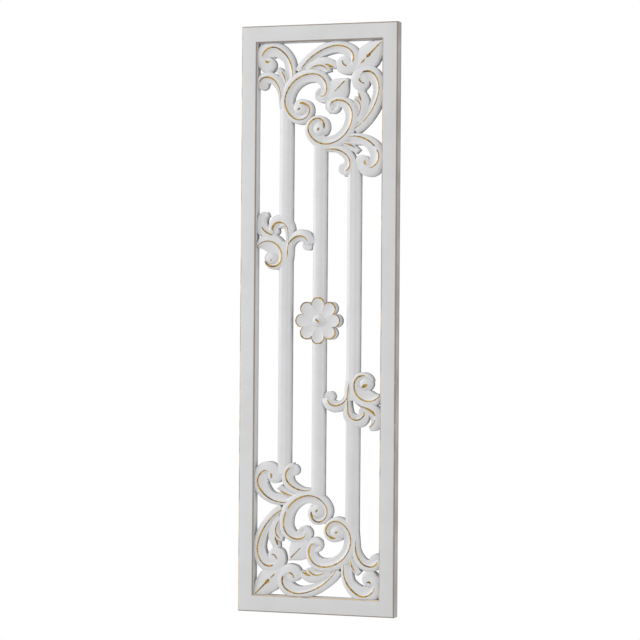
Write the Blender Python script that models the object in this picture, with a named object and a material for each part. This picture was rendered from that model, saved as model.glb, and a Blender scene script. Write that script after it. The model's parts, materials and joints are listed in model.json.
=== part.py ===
"""Carved wooden wall panel: a tall mitred frame round one openwork board.

The board is cut from one piece: a scroll ornament in the top right and the
bottom left corner, a smaller one on each long side, three rounded bars, and
an eight-petalled flower on the middle bar. The origin is the middle of the
top rail's back, where the panel lies against the wall. The back is the plane
y = 0 and the front looks toward -Y.
"""
import bpy
import bmesh
from math import acos, ceil, cos, pi, radians, sin

# Frame
PANEL_WIDTH = 0.250
PANEL_HEIGHT = 0.900
FRAME_DEPTH = 0.020
STILE_WIDTH = 0.0245
RAIL_WIDTH = 0.0260
FRAME_ARRIS = 0.0014
JOINT_GAP = 0.0003

# Carved board, heights measured from its flat back
RIM_HEIGHT = 0.0135
SHOULDER_HEIGHT = 0.0162
RIDGE_HEIGHT = 0.0172
HOLLOW_HEIGHT = 0.0140
KNOB_HEIGHT = 0.0162
PAD_HEIGHT = 0.0142
EYE_HEIGHT = 0.0180
CHORD_GAP = 0.0010
KNOB_SIDES = 10

# The board lies a little low in the frame: the flower with the side ornaments,
# and the corner ornaments, whose drawing begins slightly under the frame.
CARVING_DROP = 0.0025
CORNER_DROP = 0.0015
CORNER_LAP = 0.0006

# Bars
BAR_WIDTH = 0.0203
BAR_SIDE_HEIGHT = 0.0115
BAR_CROWN_HEIGHT = 0.0166
BAR_FACETS = 6

# Flower
PETALS = 8
PETAL_CIRCLE = 0.0264
PETAL_RADIUS = 0.0104
PETAL_FACETS = 4
PETAL_EDGE_HEIGHT = 0.0140
PETAL_RIM_HEIGHT = 0.0168
PETAL_RIM_INSET = 0.0022
PETAL_HOLLOW_HEIGHT = 0.0130
BOSS_RADIUS = 0.0095
BOSS_TAPER = 0.0010
BOSS_HEIGHT = 0.0160
BUTTON_RADIUS = 0.0045
BUTTON_HEIGHT = 0.0190

OPENING_LEFT = STILE_WIDTH - PANEL_WIDTH / 2
OPENING_RIGHT = -OPENING_LEFT
PANEL_TOP = RAIL_WIDTH / 2
PANEL_BOTTOM = PANEL_TOP - PANEL_HEIGHT
OPENING_TOP = PANEL_TOP - RAIL_WIDTH
OPENING_BOTTOM = PANEL_BOTTOM + RAIL_WIDTH
CARVING_CENTRE = (OPENING_TOP + OPENING_BOTTOM) / 2 - CARVING_DROP

# The ornaments are drawn on a square as wide as the opening, divided into
# DRAWN_WIDTH parts. Every number in a scroll, leaf or knob counts these parts.
DRAWN_WIDTH = 201.0
PART = (OPENING_RIGHT - OPENING_LEFT) / DRAWN_WIDTH
STRAIGHT_STEP = 9.0

# Middles of the outer bars from the edge of the opening. Each bar ends inside
# the scrolls, this far from the top or the bottom of the opening, and an outer
# bar is also open behind the side ornament, at heights above the flower.
OUTER_BAR_PLACE = 45.8
FAR_BAR_END = 186.0
MIDDLE_BAR_END = 154.0
NEAR_BAR_END = 104.0
BAR_BREAK = (121.0, 145.0)

# How far across a scroll its shoulder and its hollow lie, and how wide the top
# of a knob or of the flower's button is, as shares of the way out to the rim.
SHOULDER_SHARE = 0.55
DOME_SHARE = 0.6

# A scroll is a chain of tangent arcs along its ridge: the side of the ridge on
# which the outside of the bend lies, the start place, the heading in degrees,
# (radius, turn) of each arc, or (length, 0) for a straight run, and the widths
# from the ridge to the rim, each as (share of the length, outside, inside).
LEFT, RIGHT = 1, -1

CORNER_SCROLLS = (
    # long arm that rises from the stem and curls over the top
    (LEFT, (134, 45.5), -121, ((83, -47), (34, -46), (16, -89), (8, -147)),
     ((0, 9, 7), (0.24, 8, 8), (0.48, 9, 10), (0.68, 8.5, 13), (0.78, 9.5, 12.5),
      (0.86, 12, 10), (0.95, 14, 6), (1, 12, 4))),
    # main C-scroll, from the curled tip round to the eye
    (RIGHT, (103.5, 81), 134, ((7.5, 115), (22, 108), (44, 79), (31, 76), (16, 102), (10.5, 156)),
     ((0, 8, 6), (0.04, 7, 8), (0.1, 6, 10), (0.22, 7.5, 12.5), (0.45, 10, 11.5),
      (0.65, 7.5, 12), (0.77, 6.5, 12), (0.88, 4.5, 8), (0.94, 6.5, 7), (1, 9, 6))),
    # curl that turns back toward the far stile
    (RIGHT, (145.5, 57), -93, ((8, 0), (44, 64), (18, 97), (7, 91), (14, 33)),
     ((0, 4, 15), (0.15, 5, 13), (0.3, 7, 10.5), (0.53, 9, 14), (0.62, 10, 16), (0.7, 11, 16),
      (0.83, 13, 11.5), (0.91, 14.5, 8.5), (1, 14, 5))),
    # small curl on the stem of the outer bar
    (RIGHT, (164, 106), -90, ((25, 0), (35, 41), (19, 49), (12, 85)),
     ((0, 8, 2), (0.3, 7, 4), (0.55, 9, 7), (0.75, 8.5, 9.5), (0.9, 7.5, 11.5), (1, 7, 12.5))),
    # sprig between the two curls
    (RIGHT, (155.5, 64), -88, ((36, 46),), ((0, 4, 10), (0.5, 3, 8), (1, 2.5, 6.5))),
    # folded leaf below the long arm: its under lobe and its pointed upper lobe
    (LEFT, (121, 43.5), -141, ((37, -29), (14, -84)),
     ((0, 11.5, 6), (0.5, 9, 7), (0.8, 6.5, 8), (1, 4, 8.5))),
    (LEFT, (118.5, 39.5), -158, ((55, -46),),
     ((0, 8, 5), (0.3, 11.5, 5), (0.6, 13, 4.5), (0.85, 10, 3), (1, 6, 1))),
)

# Leaves and buds on the corner's diagonal, pointing into the corner
DIAGONAL_LEAVES = (
    ((47.5, 47.5), -135, ((66, 0),),
     ((0, 14, 14), (0.27, 17, 17), (0.5, 18.5, 18.5), (0.73, 15, 15), (0.87, 10, 10),
      (0.96, 5, 5), (1, 2, 2))),
    ((87, 87), -135, ((42, 0),),
     ((0, 20, 20), (0.2, 19.5, 19.5), (0.5, 17.5, 17.5), (0.65, 14, 14), (0.78, 9, 9),
      (0.9, 4.5, 4.5), (1, 1, 1))),
)

# Ends of the curls, domed or flat, and the eye of the C-scroll: place, radius, height
CORNER_KNOBS = (
    ((62, 36.5), 13.7, KNOB_HEIGHT),
    ((97.5, 81), 12, PAD_HEIGHT),
    ((133, 101), 12.5, EYE_HEIGHT),
    ((186, 33), 12.5, KNOB_HEIGHT),
    ((194.5, 62), 9, PAD_HEIGHT),
)

# Ornament on the side: the first number counts from the stile, the second is
# the height above the flower's middle.
SIDE_SCROLLS = (
    # leaf that lies along the stile
    (LEFT, (44, 114), 124, ((35, 41), (32, -28), (13, -51), (18, -62)),
     ((0, 4, 3), (0.31, 6, 8), (0.53, 8, 11), (0.72, 9.5, 11), (0.87, 9.5, 6), (0.94, 8, 3),
      (1, 5, 1))),
    # curl over the outer bar
    (RIGHT, (50, 93), 82, ((198, 13), (14, 76), (12, 91), (2, 88)),
     ((0, 6.5, 4), (0.4, 6, 4), (0.55, 9.5, 6.5), (0.65, 11, 9.5), (0.8, 12, 11),
      (0.93, 8, 7.5), (1, 6, 5))),
    # curl that reaches the middle bar
    (LEFT, (50.5, 97), 90, ((75, -13), (20, -77), (11.5, -58), (19, -23)),
     ((0, 4, 3), (0.3, 5.5, 6), (0.5, 8, 6.3), (0.7, 10.5, 7.5), (1, 10, 8))),
    # spiral with a broad fanned blade
    (LEFT, (2, 113.5), 53, ((21, -56), (23, -101), (14, -125), (9.5, -27)),
     ((0, 3, 5), (0.08, 8, 15), (0.2, 9.5, 17), (0.47, 9.5, 18), (0.72, 6.5, 15),
      (0.85, 4.5, 11), (1, 2.5, 6))),
)

SIDE_KNOBS = (
    ((29.5, 138), 7.5, PAD_HEIGHT),
    ((82, 115.5), 8.2, PAD_HEIGHT),
    ((24.5, 95.5), 11.5, EYE_HEIGHT),
)


def clear_scene():
    for item in list(bpy.data.objects):
        bpy.data.objects.remove(item, do_unlink=True)


def paint(name, colour, roughness):
    """A satin painted finish."""
    material = bpy.data.materials.new(name)
    material.use_nodes = True
    shader = material.node_tree.nodes["Principled BSDF"]
    shader.inputs["Base Color"].default_value = (*colour, 1.0)
    shader.inputs["Roughness"].default_value = roughness
    shader.inputs["Metallic"].default_value = 0.0
    return material


def as_object(name, bm, material):
    mesh = bpy.data.meshes.new(name)
    bm.to_mesh(mesh)
    bm.free()
    mesh.materials.append(material)
    item = bpy.data.objects.new(name, mesh)
    bpy.context.scene.collection.objects.link(item)
    return item


def draw_through(bm, sections):
    """Extrude the first section through the places of all the others, as one closed body."""
    already = set(bm.faces)
    cap = bm.faces.new([bm.verts.new(place) for place in sections[0]])
    for section in sections[1:]:
        grown = bmesh.ops.extrude_face_region(bm, geom=[cap, *cap.edges])
        cap = next(part for part in grown["geom"] if isinstance(part, bmesh.types.BMFace))
        for vertex, place in zip(cap.verts, section):
            vertex.co = place
    body = [face for face in bm.faces if face not in already]
    bmesh.ops.recalc_face_normals(bm, faces=body)
    for face in body:
        face.normal_update()
    if sum(face.calc_area() * face.normal.dot(face.calc_center_median()) for face in body) < 0:
        bmesh.ops.reverse_faces(bm, faces=body)


def frame_member(name, width, outer_ends, inner_ends, trim, material):
    """A moulded length of the frame between two mitres, each short by half the joint gap."""
    profile = (
        (0.0, 0.0),
        (0.0, FRAME_DEPTH - FRAME_ARRIS),
        (FRAME_ARRIS, FRAME_DEPTH),
        (width - FRAME_ARRIS, FRAME_DEPTH),
        (width, FRAME_DEPTH - FRAME_ARRIS),
        (width, 0.0),
    )
    sections = []
    for (outer_x, outer_z), (inner_x, inner_z), side in zip(outer_ends, inner_ends, (1, -1)):
        section = []
        for across, height in profile:
            share = across / width
            x = outer_x + (inner_x - outer_x) * share + trim[0] * side
            z = outer_z + (inner_z - outer_z) * share + trim[1] * side
            section.append((x, -height, z))
        sections.append(section)
    bm = bmesh.new()
    draw_through(bm, sections)
    return as_object(name, bm, material)


def build_frame(material):
    edge = PANEL_WIDTH / 2
    outer = ((-edge, PANEL_BOTTOM), (-edge, PANEL_TOP), (edge, PANEL_TOP), (edge, PANEL_BOTTOM))
    inner = ((OPENING_LEFT, OPENING_BOTTOM), (OPENING_LEFT, OPENING_TOP),
             (OPENING_RIGHT, OPENING_TOP), (OPENING_RIGHT, OPENING_BOTTOM))
    members = (
        ("left_stile", STILE_WIDTH, (0, JOINT_GAP)),
        ("top_rail", RAIL_WIDTH, (JOINT_GAP, 0)),
        ("right_stile", STILE_WIDTH, (0, -JOINT_GAP)),
        ("bottom_rail", RAIL_WIDTH, (-JOINT_GAP, 0)),
    )
    for k, (name, width, trim) in enumerate(members):
        ends = (k, (k + 1) % len(members))
        frame_member(name, width, [outer[e] for e in ends], [inner[e] for e in ends],
                     trim, material)


def between(knots, share):
    """Widths at a share of the length, read straight between the knots."""
    for low, high in zip(knots, knots[1:]):
        if share <= high[0]:
            step = (share - low[0]) / (high[0] - low[0])
            return [a + (b - a) * step for a, b in zip(low[1:], high[1:])]
    return knots[-1][1:]


def stations(start, heading, arcs, reach):
    """Places and headings along a chain of tangent arcs, close enough for CHORD_GAP."""
    x, y = start
    angle = radians(heading)
    walked = 0.0
    row = [(x, y, angle, walked)]
    for radius, turn in arcs:
        if turn:
            coarsest = 2 * acos(1 - CHORD_GAP / PART / (radius + reach))
            count = max(2, ceil(abs(radians(turn)) / coarsest))
            step = radians(turn) / count
            chord = 2 * radius * sin(abs(step) / 2)
        else:
            count = ceil(radius / STRAIGHT_STEP)
            step = 0.0
            chord = radius / count
        for _ in range(count):
            x += chord * cos(angle + step / 2)
            y += chord * sin(angle + step / 2)
            angle += step
            walked += chord
            row.append((x, y, angle, walked))
    return [(x, y, angle, done / walked) for x, y, angle, done in row]


def add_scroll(bm, place, outside, start, heading, arcs, widths):
    """One carved scroll: a sharp ridge between a rounded shoulder and a hollow."""
    reach = max(outer for _, outer, _ in widths)
    sections = []
    for x, y, angle, share in stations(start, heading, arcs, reach):
        outer, inner = between(widths, share)
        across = angle + outside * pi / 2
        profile = (
            (outer, 0.0),
            (outer, RIM_HEIGHT),
            (outer * SHOULDER_SHARE, SHOULDER_HEIGHT),
            (0.0, RIDGE_HEIGHT),
            (-inner * SHOULDER_SHARE, HOLLOW_HEIGHT),
            (-inner, RIM_HEIGHT),
            (-inner, 0.0),
        )
        sections.append([place(x + off * cos(across), y + off * sin(across), height)
                         for off, height in profile])
    draw_through(bm, sections)


def add_leaf(bm, place, start, heading, arcs, widths):
    """A leaf raised to a fold along its middle."""
    sections = []
    for x, y, angle, share in stations(start, heading, arcs, 0.0):
        outer, inner = between(widths, share)
        across = angle + pi / 2
        profile = (
            (outer, 0.0),
            (outer, RIM_HEIGHT),
            (0.0, RIDGE_HEIGHT),
            (-inner, RIM_HEIGHT),
            (-inner, 0.0),
        )
        sections.append([place(x + off * cos(across), y + off * sin(across), height)
                         for off, height in profile])
    draw_through(bm, sections)


def add_knob(bm, place, middle, radius, top):
    """The domed or flat end of a curl."""
    rings = ((1.0, 0.0), (1.0, RIM_HEIGHT), (DOME_SHARE, top))
    sections = []
    for share, height in rings:
        sections.append([
            place(middle[0] + radius * share * cos(2 * pi * k / KNOB_SIDES),
                  middle[1] + radius * share * sin(2 * pi * k / KNOB_SIDES), height)
            for k in range(KNOB_SIDES)])
    draw_through(bm, sections)


def corner_places():
    """The corner drawing in the top right and bottom left corners, each with its mirror half."""
    def top_right(a, b, height):
        return (OPENING_RIGHT + CORNER_LAP - a * PART, -height,
                OPENING_TOP + CORNER_LAP - CORNER_DROP - b * PART)

    def bottom_left(a, b, height):
        return (OPENING_LEFT - CORNER_LAP + a * PART, -height,
                OPENING_BOTTOM - CORNER_LAP - CORNER_DROP + b * PART)

    for corner in (top_right, bottom_left):
        yield corner, False
        yield (lambda a, b, height, corner=corner: corner(b, a, height)), True


def side_places():
    """The side drawing on the left stile, and turned half round on the right one."""
    def left(a, b, height):
        return (OPENING_LEFT + a * PART, -height, CARVING_CENTRE + b * PART)

    def right(a, b, height):
        return (OPENING_RIGHT - a * PART, -height, CARVING_CENTRE - b * PART)

    return (left, right)


def add_bar(bm, x, bottom, top):
    """A bar with straight sides and a rounded front, between two ends.

    An end is a height, or a function that gives the height at each place across.
    """
    half = BAR_WIDTH / 2
    profile = [(-half, 0.0)]
    for k in range(BAR_FACETS + 1):
        turn = pi * k / BAR_FACETS
        rise = (BAR_CROWN_HEIGHT - BAR_SIDE_HEIGHT) * sin(turn)
        profile.append((-half * cos(turn), -BAR_SIDE_HEIGHT - rise))
    profile.append((half, 0.0))
    draw_through(bm, [[(x + off, y, end(off) if callable(end) else end) for off, y in profile]
                      for end in (bottom, top)])


def petal_rim(off):
    """How far above the flower's middle the top petal's rim lies, at a place across."""
    return PETAL_CIRCLE + (PETAL_RADIUS ** 2 - off ** 2) ** 0.5 - PETAL_RIM_INSET


def add_bars(bm):
    """The middle bar, let into the flower, and the outer two, which end inside the scrolls."""
    middle = (OPENING_LEFT + OPENING_RIGHT) / 2
    add_bar(bm, middle, OPENING_BOTTOM + MIDDLE_BAR_END * PART,
            lambda off: CARVING_CENTRE - petal_rim(off))
    add_bar(bm, middle, lambda off: CARVING_CENTRE + petal_rim(off),
            OPENING_TOP - MIDDLE_BAR_END * PART)
    low, high = (height * PART for height in BAR_BREAK)
    left = OPENING_LEFT + OUTER_BAR_PLACE * PART
    add_bar(bm, left, OPENING_BOTTOM + FAR_BAR_END * PART, CARVING_CENTRE + low)
    add_bar(bm, left, CARVING_CENTRE + high, OPENING_TOP - NEAR_BAR_END * PART)
    right = OPENING_RIGHT - OUTER_BAR_PLACE * PART
    add_bar(bm, right, OPENING_BOTTOM + NEAR_BAR_END * PART, CARVING_CENTRE - high)
    add_bar(bm, right, CARVING_CENTRE - low, OPENING_TOP - FAR_BAR_END * PART)


def add_flower(bm):
    """Eight scooped petals round a stepped boss."""
    facets = PETALS * PETAL_FACETS * 2

    def petal_edge(turn):
        """Distance from the middle to the lobed outline."""
        apart = (turn + pi / PETALS) % (2 * pi / PETALS) - pi / PETALS
        across = PETAL_CIRCLE * sin(apart)
        return PETAL_CIRCLE * cos(apart) + (PETAL_RADIUS ** 2 - across ** 2) ** 0.5

    rings = (
        (lambda edge: edge, 0.0),
        (lambda edge: edge, PETAL_EDGE_HEIGHT),
        (lambda edge: edge - PETAL_RIM_INSET, PETAL_RIM_HEIGHT),
        (lambda edge: (edge + BOSS_RADIUS) / 2, PETAL_HOLLOW_HEIGHT),
        (lambda edge: BOSS_RADIUS, PETAL_HOLLOW_HEIGHT),
        (lambda edge: BOSS_RADIUS - BOSS_TAPER, BOSS_HEIGHT),
        (lambda edge: BUTTON_RADIUS, BOSS_HEIGHT),
        (lambda edge: BUTTON_RADIUS * DOME_SHARE, BUTTON_HEIGHT),
    )
    sections = []
    for radius_at, height in rings:
        section = []
        for k in range(facets):
            turn = 2 * pi * k / facets
            radius = radius_at(petal_edge(turn))
            section.append((radius * cos(turn), -height, CARVING_CENTRE + radius * sin(turn)))
        sections.append(section)
    draw_through(bm, sections)


def opening_cutter():
    """The space inside the frame, less the joint gap, that the board is trimmed to."""
    bm = bmesh.new()
    left, right = OPENING_LEFT + JOINT_GAP, OPENING_RIGHT - JOINT_GAP
    bottom, top = OPENING_BOTTOM + JOINT_GAP, OPENING_TOP - JOINT_GAP
    section = ((left, bottom), (right, bottom), (right, top), (left, top))
    reach = 2 * FRAME_DEPTH
    draw_through(bm, [[(x, y, z) for x, z in section] for y in (reach, -reach)])
    mesh = bpy.data.meshes.new("opening_space")
    bm.to_mesh(mesh)
    bm.free()
    cutter = bpy.data.objects.new("opening_space", mesh)
    cutter.display_type = "WIRE"
    cutter.hide_render = True
    bpy.context.scene.collection.objects.link(cutter)
    return cutter


def build_fretwork(material):
    bm = bmesh.new()
    add_bars(bm)
    for place, mirrored in corner_places():
        for scroll in CORNER_SCROLLS:
            add_scroll(bm, place, *scroll)
        for knob in CORNER_KNOBS:
            add_knob(bm, place, *knob)
        if not mirrored:
            for leaf in DIAGONAL_LEAVES:
                add_leaf(bm, place, *leaf)
    for place in side_places():
        for scroll in SIDE_SCROLLS:
            add_scroll(bm, place, *scroll)
        for knob in SIDE_KNOBS:
            add_knob(bm, place, *knob)
    add_flower(bm)
    bmesh.ops.triangulate(bm, faces=bm.faces)
    board = as_object("fretwork", bm, material)
    joined = board.modifiers.new("joined and trimmed to the opening", "BOOLEAN")
    joined.operation = "INTERSECT"
    joined.solver = "EXACT"
    joined.use_self = True
    joined.object = opening_cutter()
    return board


def main():
    clear_scene()
    white = paint("white_satin_paint", (0.80, 0.80, 0.79), 0.45)
    rubbed = paint("white_paint_gold_rubbed", (0.82, 0.81, 0.79), 0.42)
    build_frame(white)
    build_fretwork(rubbed)


main()
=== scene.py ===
import json
from math import acos, asin, ceil, cos, pi, radians, sin

import bmesh
import bpy
from mathutils import Matrix, Vector

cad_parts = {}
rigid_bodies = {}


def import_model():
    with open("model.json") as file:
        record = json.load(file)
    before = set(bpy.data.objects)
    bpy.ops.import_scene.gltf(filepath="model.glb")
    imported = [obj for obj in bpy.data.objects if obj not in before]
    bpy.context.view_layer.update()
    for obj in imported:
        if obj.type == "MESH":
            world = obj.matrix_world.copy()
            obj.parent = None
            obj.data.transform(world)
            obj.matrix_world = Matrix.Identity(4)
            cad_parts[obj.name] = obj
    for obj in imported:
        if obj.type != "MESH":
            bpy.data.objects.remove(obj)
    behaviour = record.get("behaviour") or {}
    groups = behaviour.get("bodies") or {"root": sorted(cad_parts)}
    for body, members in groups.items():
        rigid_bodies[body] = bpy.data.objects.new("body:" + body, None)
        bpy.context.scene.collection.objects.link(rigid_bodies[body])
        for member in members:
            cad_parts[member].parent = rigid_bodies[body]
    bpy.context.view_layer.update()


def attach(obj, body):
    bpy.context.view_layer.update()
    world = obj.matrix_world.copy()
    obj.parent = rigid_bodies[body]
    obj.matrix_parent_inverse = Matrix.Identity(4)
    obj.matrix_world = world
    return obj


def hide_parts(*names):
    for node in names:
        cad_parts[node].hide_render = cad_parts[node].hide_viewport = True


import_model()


# The panel's frame: four mitred lengths of pale wood, glued and painted as one
# seamless ring. Its long edges are rounded and rubbed through to brown and gold, and painted browner as
# shade where they face away from the light.
PANEL_WIDTH = 0.250
PANEL_HEIGHT = 0.900
FRAME_DEPTH = 0.020
STILE_WIDTH = 0.0245
RAIL_WIDTH = 0.0260
FRONT_ROUNDING = 0.0020
BACK_ROUNDING = 0.0009
CREASE_ANGLE = radians(34)

PANEL_TOP = RAIL_WIDTH / 2
PANEL_BOTTOM = PANEL_TOP - PANEL_HEIGHT
OPENING_RIGHT = PANEL_WIDTH / 2 - STILE_WIDTH
OPENING_LEFT = -OPENING_RIGHT
OPENING_TOP = PANEL_TOP - RAIL_WIDTH
OPENING_BOTTOM = PANEL_BOTTOM + RAIL_WIDTH


def finished(name, bm, material):
    """Turns a bmesh into a named piece, shaded soft except at its sharp creases."""
    for face in bm.faces:
        face.smooth = True
    for edge in bm.edges:
        edge.smooth = edge.calc_face_angle(0) < CREASE_ANGLE
    mesh = bpy.data.meshes.new(name)
    bm.to_mesh(mesh)
    bm.free()
    mesh.materials.append(material)
    piece = bpy.data.objects.new(name, mesh)
    bpy.context.scene.collection.objects.link(piece)
    return piece


# A flat grid of nine faces is drawn out to the frame's lines, loses its middle
# and is thickened toward the front.
ring = bmesh.new()
bmesh.ops.create_grid(ring, x_segments=3, y_segments=3, size=1.5)
columns = (-PANEL_WIDTH / 2, OPENING_LEFT, OPENING_RIGHT, PANEL_WIDTH / 2)
rows = (PANEL_BOTTOM, OPENING_BOTTOM, OPENING_TOP, PANEL_TOP)
for vertex in ring.verts:
    vertex.co = (columns[round(vertex.co.x + 1.5)], 0, rows[round(vertex.co.y + 1.5)])
opening = max(ring.faces, key=lambda face: face.calc_area())
bmesh.ops.delete(ring, geom=[opening], context="FACES_ONLY")
grown = bmesh.ops.extrude_face_region(ring, geom=ring.faces[:])
bmesh.ops.translate(ring, vec=(0, -FRAME_DEPTH, 0),
                    verts=[part for part in grown["geom"] if isinstance(part, bmesh.types.BMVert)])
bmesh.ops.recalc_face_normals(ring, faces=ring.faces)


def long_edges(bm, depth):
    """The sharp edges that run round the ring at its back or its front."""
    return [edge for edge in bm.edges
            if all(abs(vertex.co.y - depth) < 1e-6 for vertex in edge.verts)
            and edge.calc_face_angle(0) > 1]


bmesh.ops.bevel(ring, geom=long_edges(ring, 0), affect="EDGES", offset=BACK_ROUNDING,
                segments=3, profile=0.5, material=-1)
edge_line = ring.verts.layers.float.new("edge_line")
rounded = bmesh.ops.bevel(ring, geom=long_edges(ring, -FRAME_DEPTH), affect="EDGES",
                          offset=FRONT_ROUNDING, segments=6, profile=0.5, material=-1)
shade_and_rub_tone = ring.loops.layers.float.new("shade_and_rub_tone")
for face in rounded["faces"]:
    # 1 on the edges painted browner, mostly those facing right or down, away from the light, as painted
    # shade, and the top's outer edge; 0 on those that stay cream
    face.normal_update()
    on_top = face.calc_center_median().z > OPENING_TOP
    brown = face.normal.x > 0.1 or face.normal.z < -0.1 or (face.normal.z > 0.1 and on_top)
    for loop in face.loops:
        loop[shade_and_rub_tone] = float(brown)
for face in ring.faces:
    # the panel's right wall, which faces away from the light, is painted browner as shade too
    face.normal_update()
    if face.normal.x > 0.99 and face.calc_center_median().x > OPENING_RIGHT:
        for loop in face.loops:
            loop[shade_and_rub_tone] = 1.0
for vertex in rounded["verts"]:
    # 1 on the middle of the rounding, 0 where it meets the face and the wall
    lean = asin(max(0.0, min(1.0, 1 - (vertex.co.y + FRAME_DEPTH) / FRONT_ROUNDING)))
    vertex[edge_line] = max(0.0, 1 - abs(lean / (pi / 4) - 1))


# White satin paint, very slightly uneven from the brush, is worn through on the
# rounded edges to brown undercoat and a little old gold; a dark band of painted shade lies near the
# wall, and edges facing away from the light are painted browner as shade.
# brown of the worn edges, also used as painted shade on the edges and the wall that face away from the
# light
RUBBED_AND_SHADE_BROWN = (0.31, 0.26, 0.22)
RUBBED_CREAM = (0.64, 0.50, 0.33)
# near-black painted shade for the band along the back of the walls
BACK_SHADE_GREY = (0.08, 0.08, 0.09)
FRAME_WHITE = (0.70, 0.70, 0.705)
FRAME_WHITE_THIN = (0.675, 0.673, 0.67)
# Strength and depth of the brush marks
BRUSH_RELIEF = (0.12, 0.0004)


def new_group(name, inputs, outputs):
    """An empty shader node group with named inputs and outputs."""
    tree = bpy.data.node_groups.new(name, "ShaderNodeTree")
    for kind, label, value in inputs:
        socket = tree.interface.new_socket(label, in_out="INPUT", socket_type="NodeSocket" + kind)
        socket.default_value = value
    for kind, label in outputs:
        tree.interface.new_socket(label, in_out="OUTPUT", socket_type="NodeSocket" + kind)
    return tree, tree.nodes.new("NodeGroupInput").outputs, tree.nodes.new("NodeGroupOutput").inputs


def calculate(tree, operation, *values):
    """One math node; each value is a number or another node's output."""
    node = tree.nodes.new("ShaderNodeMath")
    node.operation = operation
    for socket, value in zip(node.inputs, values):
        if isinstance(value, (int, float)):
            socket.default_value = value
        else:
            tree.links.new(value, socket)
    return node.outputs[0]


def attribute(tree, name):
    """One of the piece's own attributes, as a number."""
    node = tree.nodes.new("ShaderNodeAttribute")
    node.attribute_name = name
    return node.outputs["Fac"]


def split(tree, vector):
    """The X, Y and Z of a vector."""
    node = tree.nodes.new("ShaderNodeSeparateXYZ")
    tree.links.new(vector, node.inputs["Vector"])
    return node.outputs


def noise(tree, place, scale, detail=2.0, roughness=0.5):
    """A noise texture on the piece's own coordinates."""
    node = tree.nodes.new("ShaderNodeTexNoise")
    node.inputs["Detail"].default_value = detail
    node.inputs["Roughness"].default_value = roughness
    tree.links.new(place, node.inputs["Vector"])
    if isinstance(scale, (int, float)):
        node.inputs["Scale"].default_value = scale
    else:
        tree.links.new(scale, node.inputs["Scale"])
    return node.outputs["Fac"]


def ramp(tree, value, low, high, start=0.0, end=1.0):
    """Smooth change from start to end while the value goes from low to high."""
    node = tree.nodes.new("ShaderNodeMapRange")
    node.interpolation_type = "SMOOTHSTEP"
    for socket, setting in zip(("Value", "From Min", "From Max", "To Min", "To Max"),
                               (value, low, high, start, end)):
        if isinstance(setting, (int, float)):
            node.inputs[socket].default_value = setting
        else:
            tree.links.new(setting, node.inputs[socket])
    return node.outputs["Result"]


def blend(tree, share, first, second):
    """Colour mixed from first to second; each is a colour or another node's output."""
    node = tree.nodes.new("ShaderNodeMix")
    node.data_type = "RGBA"
    tree.links.new(share, node.inputs["Factor"])
    for socket, colour in ((node.inputs["A"], first), (node.inputs["B"], second)):
        if isinstance(colour, tuple):
            socket.default_value = (*colour, 1)
        else:
            tree.links.new(colour, socket)
    return node.outputs["Result"]


def use_group(tree, group, **values):
    """Places a group in a material and sets its inputs by name."""
    node = tree.nodes.new("ShaderNodeGroup")
    node.node_tree = group
    for label, value in values.items():
        socket = node.inputs[label.replace("_", " ")]
        socket.default_value = (*value, 1) if isinstance(value, tuple) else value
    return node.outputs


def new_material(name, roughness):
    """A material with a Principled BSDF; returns it, its node tree and the shader's inputs."""
    material = bpy.data.materials.new(name)
    material.use_nodes = True
    shader = material.node_tree.nodes["Principled BSDF"].inputs
    shader["Roughness"].default_value = roughness
    return material, material.node_tree, shader


def relief(tree, height, strength, distance):
    """A bump from a height."""
    node = tree.nodes.new("ShaderNodeBump")
    node.inputs["Strength"].default_value = strength
    node.inputs["Distance"].default_value = distance
    tree.links.new(height, node.inputs["Height"])
    return node.outputs["Normal"]


paint_group, given, result = new_group(
    "brushed_paint",
    [("Color", "Paint", (0.7, 0.7, 0.7, 1)), ("Color", "Thin paint", (0.66, 0.66, 0.66, 1)),
     ("Float", "Patch scale", 30.0), ("Float", "Stroke scale", 300.0)],
    [("Color", "Colour"), ("Float", "Height")])
place = paint_group.nodes.new("ShaderNodeTexCoord").outputs["Object"]
patches = noise(paint_group, place, given["Patch scale"], 3.0)
strokes = noise(paint_group, place, given["Stroke scale"], 2.0)
mixed = blend(paint_group, ramp(paint_group, patches, 0.35, 0.7),
              given["Paint"], given["Thin paint"])
bumps = calculate(paint_group, "ADD", patches, calculate(paint_group, "MULTIPLY", strokes, 0.35))
paint_group.links.new(mixed, result["Colour"])
paint_group.links.new(bumps, result["Height"])

# Wear follows the middle of the rounding and breaks off where the noise is low; its
# colour drifts between brown and cream, and is pushed to brown as painted shade on the edges marked as
# facing away from the light.
CHIP_SCALE = 420.0
TONE_SCALE = 25.0
SHADE_BROWNING = 0.25
edge_group, given, result = new_group(
    "worn_and_shaded_edge",
    [("Float", "Amount", 0.6), ("Float", "Break scale", 60.0), ("Color", "Brown", (0.3, 0.2, 0.1, 1)),
     ("Color", "Cream", (0.6, 0.5, 0.3, 1))],
    [("Float", "Mask"), ("Color", "Colour")])
place = edge_group.nodes.new("ShaderNodeTexCoord").outputs["Object"]
near_edge = attribute(edge_group, "edge_line")
breaks = calculate(edge_group, "SUBTRACT", noise(edge_group, place, given["Break scale"], 3.0, 0.6), 0.5)
chips = calculate(edge_group, "SUBTRACT", noise(edge_group, place, CHIP_SCALE, 2.0), 0.5)
reach = calculate(edge_group, "ADD", near_edge, calculate(edge_group, "MULTIPLY", breaks, 0.9))
reach = calculate(edge_group, "ADD", reach, calculate(edge_group, "MULTIPLY", chips, 0.35))
low = calculate(edge_group, "SUBTRACT", 1.0, given["Amount"])
high = calculate(edge_group, "ADD", low, 0.35)
mask = calculate(edge_group, "MULTIPLY", ramp(edge_group, near_edge, 0.0, 0.3),
                 ramp(edge_group, reach, low, high))
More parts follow.
